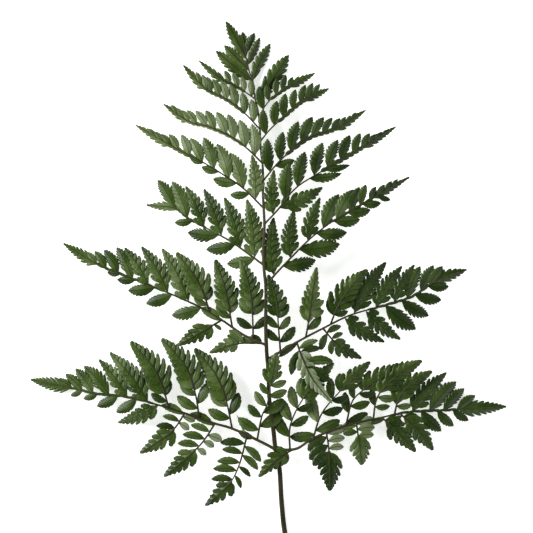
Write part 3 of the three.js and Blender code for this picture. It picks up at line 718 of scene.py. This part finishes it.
# The second left pinna, of the same leathery leaf. Three pinnules above its costa and two below are cut
# into free leaflets on thin ribs, and the outer ones are plain.
grow_pinna(
    "pinna_left_2",
    costa=[(265.5, 345), (244, 335), (222, 320), (200, 307), (171, 294), (149, 285), (118.5, 273),
           (97, 264)],
    tip=(63, 243.5), tip_height=6, arch=3, tone=0.5, width=2.2,
    plain=[
        (189, 302, 162, 248.5), (168.5, 293, 141.5, 246.5), (149, 284.5, 124.5, 247.5),
        (132.5, 279, 116.5, 247), (118.5, 273, 104, 249.5), (106.5, 268, 94.5, 251), (97, 264, 86.5, 252),
        (201, 308, 171.5, 315.5), (172, 295, 146, 303.5), (155, 288.5, 128, 290.5),
        (136, 281, 117, 279.5), (121, 274, 107, 272),
    ],
    divided=[
        dict(lift=5, rib=[(253.5, 339), (252, 305), (248, 282), (241, 260)], leaflets=[
            (253, 328.5, 236.5, 317.5), (252, 314, 239, 302), (254, 329, 267, 316), (253, 315, 264, 299)]),
        dict(lift=2, rib=[(232, 327), (228, 302), (223, 282), (215.5, 259.5)], leaflets=[
            (231, 318, 216, 305.5), (231, 313, 236, 296.5)]),
        dict(rib=[(210, 312), (203, 292), (193, 274), (176.5, 252.5)], leaflets=[
            (208, 306, 194, 297), (207.5, 301, 211, 286)]),
        dict(lift=-2, rib=[(262, 344), (246, 343), (230, 345), (209.5, 352.5)], leaflets=[
            (262, 343, 251, 335), (258, 344, 240, 339, 0.6), (244, 343, 229, 330), (240, 343, 227, 335)]),
        dict(lift=-5, rib=[(222, 320.5), (206, 329), (177, 345.5)], leaflets=[
            (220, 319, 201, 308), (214, 325, 221.5, 330)]),
    ],
    end=((98, 264), 6, 8),
)

# The third left pinna. None of its pinnules is divided: six grow above its costa and four below, the
# long ones lobed and the short ones toothed.
grow_pinna(
    "pinna_left_3",
    costa=[(263.5, 265), (250, 255), (230, 241), (204.5, 227), (188.5, 218.5), (174, 208)],
    tip=(146.5, 205), tip_height=8, arch=2, tone=0.5, width=1.8,
    plain=[
        (255.5, 258, 247, 199.5), (241, 248, 224.5, 197.5), (221.5, 236, 204, 189),
        (204.5, 226, 185.5, 186), (188.5, 217.5, 172, 181), (175, 209, 157.5, 179.5),
        (255, 259, 227, 264), (236, 245, 206, 249.5), (219, 235.5, 187.5, 232.5),
        (193, 221.5, 174.5, 222.5),
    ],
    end=((178, 211), 5, 6),
)

# The fourth left pinna, shorter, its paler tone painted sheen. Ten plain pinnules grow above its costa and
# four below, and a narrow toothed wing of leaf runs along its outer half.
grow_pinna(
    "pinna_left_4",
    costa=[(263.5, 208), (244, 189), (226, 176.5), (204, 163), (178, 149.5)],
    tip=(135, 124.5), tip_height=7, arch=2, tone=0.62, width=1.6,
    plain=[
        (256.5, 200, 252, 155), (244, 188.5, 230, 152.5), (229.5, 178.5, 217, 143.5),
        (214.5, 169, 203.5, 137), (203, 162, 190.5, 138), (190, 155, 181.5, 134.5),
        (179, 149.5, 169, 134), (170, 147, 161, 134), (162, 142, 154, 131.5), (155, 138, 148, 128.5),
        (250, 194, 230, 195), (237, 184, 213, 179), (219, 172, 201.5, 167), (204, 163.5, 190, 158),
    ],
    end=((172, 146), 5, 7),
    wing=((204, 163), (160, 140), 2.5, 8),
)

# The fifth left pinna, given the palest tone as painted sheen. Its ten pinnules all grow above the costa,
# and its lower side is only the narrow wing of leaf.
grow_pinna(
    "pinna_left_5",
    costa=[(262, 163), (246.5, 148), (228.5, 135.5), (206.5, 126), (188, 121)],
    tip=(162.5, 103), tip_height=6, arch=1.5, tone=0.7, width=1.5,
    plain=[
        (255.5, 156, 252, 123.5), (245.5, 147.5, 239.5, 119.5), (235, 139, 228, 114),
        (226.5, 134, 216.5, 111.5), (215.5, 129, 205.5, 110), (207, 126, 195.5, 110.5),
        (197, 123, 187, 110), (190, 120.5, 182, 110), (184, 117, 176, 107.5), (178, 114, 171, 104.5),
    ],
    end=((190, 121), 4, 6),
    wing=((244, 146), (176, 113), 2.2, 13),
)

# The sixth left pinna. Eight short toothed pinnules grow above its thin costa, and the wing of leaf
# runs along most of it.
grow_pinna(
    "pinna_left_6",
    costa=[(259.5, 129), (245, 113.5), (226, 99), (205, 88)],
    # Its pale tone is painted sheen.
    tip=(182.5, 64), tip_height=5, arch=1, tone=0.66, width=1.3,
    plain=[
        (253.5, 122, 251.5, 99), (245, 113, 242, 92), (236.5, 106.5, 230, 84), (227.5, 100, 221, 80.5),
        (220, 95.5, 212.5, 78.5), (212, 91, 207, 76.5), (207, 89, 202, 74), (201, 83.5, 196, 71.5),
    ],
    end=((206, 89), 4.5, 6),
    wing=((246, 114), (200, 83), 2.2, 10),
)

# The seventh left pinna, the last with pinnules of its own: four small ones above the costa.
# The rest is the wing of leaf and the toothed tip.
grow_pinna(
    "pinna_left_7",
    costa=[(255, 98.5), (238, 87), (219, 77)],
    # Its pale tone is painted sheen.
    tip=(198, 59.5), tip_height=4, arch=1, tone=0.6, width=1.1,
    plain=[
        (251, 97, 250, 79), (244.5, 92, 241.5, 76), (239, 87.5, 232.5, 72.5), (231, 82.5, 224.5, 70),
    ],
    end=((226, 80), 4, 6),
    wing=((246, 92), (215, 73), 2.0, 7),
)

# The three small left pinnae below the tip. Each is one coarsely toothed leaf without pinnules, grown
# along a thin costa from the stem.
SMALL_PINNA = dict(notches=(0.42, 0.28), lean=1.1, rise=0.5, fall=0.95, samples=9)
SMALL_PINNA_STALK = 0.9
for number, foot, middle, tip, rise, half in (
    (8, (251.5, 81), (240, 71), (215.5, 50), 3, 6.5),
    (9, (249, 70.5), (240, 61), (224, 44.5), 2.5, 5.5),
    (10, (246.5, 59), (239, 45), (225.5, SHEET_TOP), 1.5, 5.5),
):
    grow_pinna(f"pinna_left_{number}", costa=[foot, middle], tip=tip, tip_height=rise, arch=0,
               tone=0.45, width=SMALL_PINNA_STALK, end=(foot, half, 8), end_form=SMALL_PINNA)

# The lowest right pinna, the other large side branch, crowded up against the stem on its inner side. Its
# tone is darker than the left one's, as the left pinnae are given paler tones of painted sheen. Five
# pinnules above its costa and five below are cut into leaflets.
grow_pinna(
    "pinna_right_1",
    costa=[(276, 450), (296, 449), (314, 438), (344.5, 426), (384, 417), (410, 412), (444, 410.5),
           (470, 409)],
    tip=(507, 407), tip_height=0.35, arch=7, tone=0.4, width=2.4,
    plain=[
        (411.5, 411, 447, 372.5), (429.5, 411, 457, 381.5), (443.5, 410, 465, 388.5),
        (457, 410, 476, 395.5), (421, 413, 441.5, 431.5), (437, 411.5, 454, 426.5), (453, 411, 469, 421),
    ],
    # Rows with a high tone of their own are painted sheen.
    divided=[
        dict(lift=8, rib=[(290, 449.5), (290, 427), (299, 405), (314, 384), (333.5, 362.5)], leaflets=[
            (289, 437, 275, 414), (292, 421, 281, 398, 0.62), (298, 409, 291, 386, 0.68),
            (304, 400, 301, 377.5, 0.6), (292, 426, 308.5, 416), (298, 411, 313, 404),
            (305, 400, 319, 391)]),
        dict(lift=5, rib=[(313, 438), (322, 413), (342, 389), (370, 361.5)], leaflets=[
            (317, 422, 310, 393, 0.72), (333, 400, 331, 378), (340, 392, 340, 373), (322, 413, 343, 408),
            (333, 402, 349, 397), (314, 434, 290, 437), (315, 431, 340, 420)]),
        dict(rib=[(346, 425), (352, 402), (362, 391), (380, 378), (404.5, 363.5)], leaflets=[
            (348, 413, 345, 392), (355, 400, 352, 383), (363, 391, 360, 375), (353, 407, 370, 402),
            (361, 397, 375, 394), (349, 422, 368, 413)]),
        dict(lift=2, rib=[(373, 418), (376, 401), (383, 389), (400, 373), (422, 360.5)], leaflets=[
            (375, 406, 372, 388), (381, 394, 381, 377), (377, 407, 390, 406), (382, 399, 396, 398)]),
        dict(lift=3, rib=[(395, 415), (398, 401), (407, 387), (432, 371)], leaflets=[
            (397, 405, 396, 391), (399, 407, 412, 405)]),
        dict(lift=2, rib=[(293, 450), (277, 459), (258.5, 477)], leaflets=[
            (288, 453, 284, 465), (287, 452, 272, 449)]),
        dict(lift=-7, fullness=0.25, slender=0.28, tone_here=0.32, end_from=(329, 450), rib=[
            (327, 433), (329, 452), (330, 491.5)], leaflets=[
            (327, 437, 308, 451), (328.5, 445, 309.5, 460), (329, 452, 313, 466),
            (328, 434, 347, 428, 0.75), (329, 441, 345, 438, 0.8), (330, 449, 344, 447, 0.7)]),
        dict(lift=-3, slender=0.23, rib=[(382, 418), (399, 434), (416, 452)], leaflets=[
            (384, 420, 371, 424), (385, 420, 402, 421)]),
        dict(lift=-3, slender=0.23, rib=[(400, 414.5), (417, 430), (433.5, 450.5)], leaflets=[
            (402, 416, 392, 424), (403, 417, 419, 417)]),
        dict(lift=-5, fullness=0.27, slender=0.32, tone_here=0.56, end_from=(358.5, 434), rib=[
            (357, 424), (359, 442), (362, 465.5)], leaflets=[
            (357, 426, 342, 427), (358, 432, 343, 434), (358, 424, 375, 420, 0.8),
            (358.5, 430, 375, 427.5, 0.8), (359, 436, 374, 435, 0.75)]),
    ],
    end=((458, 409.5), 7.6, 8),
)

# The second right pinna, with three divided pinnules above its costa and two below. The second upper one
# is given a pale tone, painted sheen. The first lower one, turned over on the real frond, is the palest
# and lies flat here.
grow_pinna(
    "pinna_right_2",
    costa=[(267, 359), (296, 342.5), (321.5, 329), (350.5, 315), (384, 305.5), (412, 296.5), (438, 280)],
    tip=(467, 269.5), tip_height=6, arch=4, tone=0.38, width=2.2,
    plain=[
        (353, 314, 386, 262), (375, 308, 402, 266), (393.5, 303, 414.5, 264.5), (407, 298.5, 420.5, 266),
        (420, 291, 434, 265), (430, 286, 443, 266), (345, 320, 384.5, 342), (366, 313, 400.5, 339.5),
        (386, 308, 416, 329.5), (402, 303, 429, 316), (416, 297, 441.5, 300), (429, 288, 449, 286.5),
    ],
    divided=[
        dict(lift=6, rib=[(280.5, 351), (278.5, 328), (276, 300), (268, 274.5)], leaflets=[
            (280, 341, 265, 328.5), (278.5, 328, 266, 315), (280.5, 342, 295, 326.5),
            (279, 330, 290, 316), (278, 318, 288.5, 303.5)]),
        dict(lift=4, slender=0.17, tone_here=0.6, end_from=(308, 324), rib=[
            (306, 337), (309, 318), (312, 294), (316.5, 267)], leaflets=[
            (309, 330, 321, 316), (310, 316, 324, 310), (311, 308, 324, 300)]),
        dict(rib=[(331, 325), (338, 306), (350, 287), (367.5, 269.5)], leaflets=[
            (333, 315, 329, 297), (334, 315, 348, 311)]),
        dict(lift=5, fullness=0.17, slender=0.13, tone_here=0.95, end_from=(299, 350), rib=[
            (297, 342), (302, 357), (312, 378), (332, 403)], leaflets=[
            (297, 344, 279, 357, 0.3), (300, 350, 291, 375, 0.3), (300, 348, 318, 340, 0.7),
            (301, 352, 321, 348, 0.3), (304, 362, 333, 361, 0.5), (308, 366, 331, 382, 0.3)]),
        dict(lift=-5, rib=[(323, 328), (339, 346), (361.5, 358.5)], leaflets=[
            (325, 335, 321, 350), (330, 341, 331.5, 354.5), (326, 333, 341, 326), (331, 339, 343, 333)]),
    ],
    end=((430, 286), 7, 6),
)

# The third right pinna, of plain pinnules only, as all from here to the tip. Eleven grow above its
# costa, the first three of them long and lobed, and seven grow below it.
grow_pinna(
    "pinna_right_3",
    costa=[(265, 286), (275.5, 274), (290, 258.7), (307.3, 241.3), (326.8, 225.4), (351.4, 210.5),
           (378, 195)],
    tip=(409.5, 177), tip_height=9, arch=3, tone=0.4, width=1.8,
    plain=[
        (274, 276, 273.5, 217.5), (290, 259, 294, 209.5), (307.5, 241, 320, 197.5),
        (322.5, 228.5, 339, 194), (336, 220, 353, 189.5), (349, 212, 359.5, 187),
        (359.5, 205, 366, 184.5), (369.5, 199.5, 376, 186.5), (377.5, 195.5, 385, 184.5),
        (385, 191, 392, 181), (392.5, 187, 398, 179), (283, 267, 316, 260), (299, 250, 340, 244),
        (316, 234, 347, 232.5), (333, 221, 360, 219.5), (347, 213, 370.5, 210), (362, 204, 381, 203),
        (378, 197, 390.5, 200),
    ],
    end=((372, 198), 4.5, 8),
)

# The fourth right pinna. Below its costa grow one long lobed pinnule and two short narrow ones, and a
# narrow toothed wing of leaf runs along its outer half.
grow_pinna(
    "pinna_right_4",
    costa=[(263.5, 224), (278.6, 209), (296, 188), (320.6, 172), (353, 153)],
    tip=(397, 126), tip_height=8, arch=2, tone=0.4, width=1.6,
    plain=[
        (271.5, 214, 274, 170), (285, 200, 289, 163), (297.5, 187, 305, 151.5),
        (313.5, 176, 322.5, 142.5), (327.5, 168, 338, 139.5), (340.5, 160, 350, 135),
        (353, 153, 360.5, 133), (362, 149, 370, 133), (369, 145, 376, 134), (376, 141, 382, 132),
        (383, 137, 388, 129.5), (279, 208, 322.5, 187.5), (309, 179, 342, 173.5, 0.33, 0.15),
        (324, 169, 350, 165, 0.33, 0.14),
    ],
    end=((362, 148), 4.5, 8),
    wing=((320, 172), (374, 141), 2.6, 10),
)

# The fifth right pinna. Ten toothed pinnules grow above its costa and one small one below, and the rest
# of its lower side is the narrow wing of leaf.
grow_pinna(
    "pinna_right_5",
    costa=[(261, 181), (277, 164), (291.5, 150.4), (311, 137), (337, 128)],
    tip=(366.5, 109.5), tip_height=6, arch=1.5, tone=0.4, width=1.5,
    plain=[
        (269, 172, 267.5, 138.5), (280, 161, 283, 131.5), (290, 151, 298.5, 121),
        (301.5, 143, 312.5, 116.5), (312, 137, 324, 117), (322, 132, 332.5, 117.5),
        (331, 129, 340.5, 118), (339, 126, 346, 116.5), (345.5, 122, 351, 115), (351, 119, 356, 112),
        (275, 166, 294.5, 160),
    ],
    end=((334, 129), 4.5, 7),
    wing=((285, 156), (350, 122), 2.4, 12),
)

# The sixth right pinna, with seven toothed pinnules above its costa and the wing of leaf along most of
# it. Its tip is one small toothed blade.
grow_pinna(
    "pinna_right_6",
    costa=[(259.5, 141), (270.4, 129), (284, 116.7), (303, 101)],
    tip=(329.5, 88), tip_height=5, arch=1, tone=0.5, width=1.3,
    plain=[
        (265, 134, 263, 109), (274, 125, 277, 100.5), (283, 117, 285.5, 93), (292, 109, 295.5, 89),
        (300, 103, 305.5, 84.5), (307, 99, 313, 82.5), (313.5, 95.5, 320, 83.5),
    ],
    end=((303, 101), 4.5, 6),
    wing=((277, 123), (316, 94), 2.2, 9),
)

# The seventh right pinna, the last with pinnules of its own: five small ones above the costa.
# The rest is the wing of leaf and the toothed tip.
grow_pinna(
    "pinna_right_7",
    costa=[(256.5, 119), (268, 102), (288, 87)],
    tip=(315.5, 72.5), tip_height=4, arch=1, tone=0.47, width=1.1,
    plain=[
        (262.5, 109, 259, 86), (269, 101, 267, 84), (276, 95, 277, 78), (282, 91, 286, 74.5),
        (288, 87, 293, 76.5),
    ],
    end=((288, 87), 4.5, 6),
    wing=((270, 100), (300, 81), 2.0, 7),
)

# The four small right pinnae below the tip, each one coarsely toothed leaf without pinnules. The
# lowest is the longest and arches a little.
for number, foot, middle, tip, rise, arch, half in (
    (8, (253, 99), (267, 86), (289, 54), 3, 0.5, 8),
    (9, (251, 80), (257, 67), (270.5, 42.5), 2.5, 0, 5.5),
    (10, (247, 65), (252, 54), (260, 36.5), 2, 0, 4),
    (11, (245, 53.5), (249, 43), (254.5, 32), 1, 0, 4),
):
    grow_pinna(f"pinna_right_{number}", costa=[foot, middle], tip=tip, tip_height=rise, arch=arch,
               tone=0.4, width=SMALL_PINNA_STALK, end=(foot, half, 7), end_form=SMALL_PINNA)

# The frond's own tip: the stem's last 2 cm carry a small toothed blade of the same leaf on both sides,
# grown together with the stem.
TIP_FROM = (246, 56)
TIP_HALF = 4.5 * MM
TIP_TEETH = 6
TIP_TONE = 0.38
tip_start = stem.nearest(TIP_FROM)
tip_leaf = toothed_stretch(stem, tip_start, 1, TIP_HALF, TIP_TEETH, TIP_TONE, SMALL_PINNA)
tip_blade = make_piece("frond_tip", [tip_leaf], [leaf_top, leaf_under])
give_thickness(tip_blade)

# The studio: a white table that glows a little, a white room that darkens overhead to keep glare off
# the leaves, a large soft lamp up to the left and a weak one opposite.
FLOOR_HALF = 6.0
FLOOR_WHITE = (0.9, 0.9, 0.9, 1)
FLOOR_GLOW = 0.55
ROOM_BRIGHTNESS = 0.85
ROOM_BY_HEIGHT = ((0.0, 1.0), (0.3, 1.0), (0.6, 0.75), (0.8, 0.3), (1.0, 0.05))
floor_mesh = bpy.data.meshes.new("floor")
corners = [(x * FLOOR_HALF, y * FLOOR_HALF, 0) for x, y in ((-1, -1), (1, -1), (1, 1), (-1, 1))]
floor_mesh.from_pydata(corners, [], [(0, 1, 2, 3)])
floor = new_object("floor", floor_mesh)
floor_mesh.materials.append(Paint(bpy.data.materials.new("floor_white")).finish(
    "Principled BSDF", Base_Color=FLOOR_WHITE, Roughness=1.0, Emission_Color=(1, 1, 1, 1),
    Emission_Strength=FLOOR_GLOW))
room = Paint(bpy.data.worlds.new("studio"))
looking_up = room.node("SeparateXYZ", Vector=room.node("TexCoord").outputs["Generated"]).outputs["Z"]
bpy.context.scene.world = room.finish(
    "Background", Color=room.ramp(looking_up, *ROOM_BY_HEIGHT), Strength=ROOM_BRIGHTNESS)


def soft_lamp(name, place, size, power):
    """A square area lamp at a place, turned to the frond's middle."""
    light = bpy.data.lights.new(name, "AREA")
    light.size = size
    light.energy = power
    lamp = new_object(name, light)
    lamp.location = place
    lamp.rotation_euler = Vector(place).to_track_quat("Z", "Y").to_euler()


soft_lamp("key_lamp", place=(-2.4, 1.0, 1.3), size=2.0, power=190)
soft_lamp("fill_lamp", place=(2.0, -1.2, 1.2), size=2.0, power=30)

# The camera looks straight down on the frond from far off, so that the picture's frame is the
# drawing sheet's: 533 steps wide, with its middle at 266.5.
FRAME_STEPS = 533
CAMERA_HEIGHT = 4.0
MEAN_HEIGHT = 14 * MM
SENSOR_MM = 36
SIGHT = 20
centre = on_sheet((FRAME_STEPS / 2, FRAME_STEPS / 2))
optics = bpy.data.cameras.new("camera")
optics.sensor_width = SENSOR_MM
optics.lens = SENSOR_MM * (CAMERA_HEIGHT - MEAN_HEIGHT) / (FRAME_STEPS * SHEET_STEP)
optics.clip_end = SIGHT
camera = new_object("camera", optics)
camera.location = (centre[0], centre[1], CAMERA_HEIGHT)
bpy.context.scene.camera = camera
bpy.context.scene.view_settings.view_transform = "Standard"
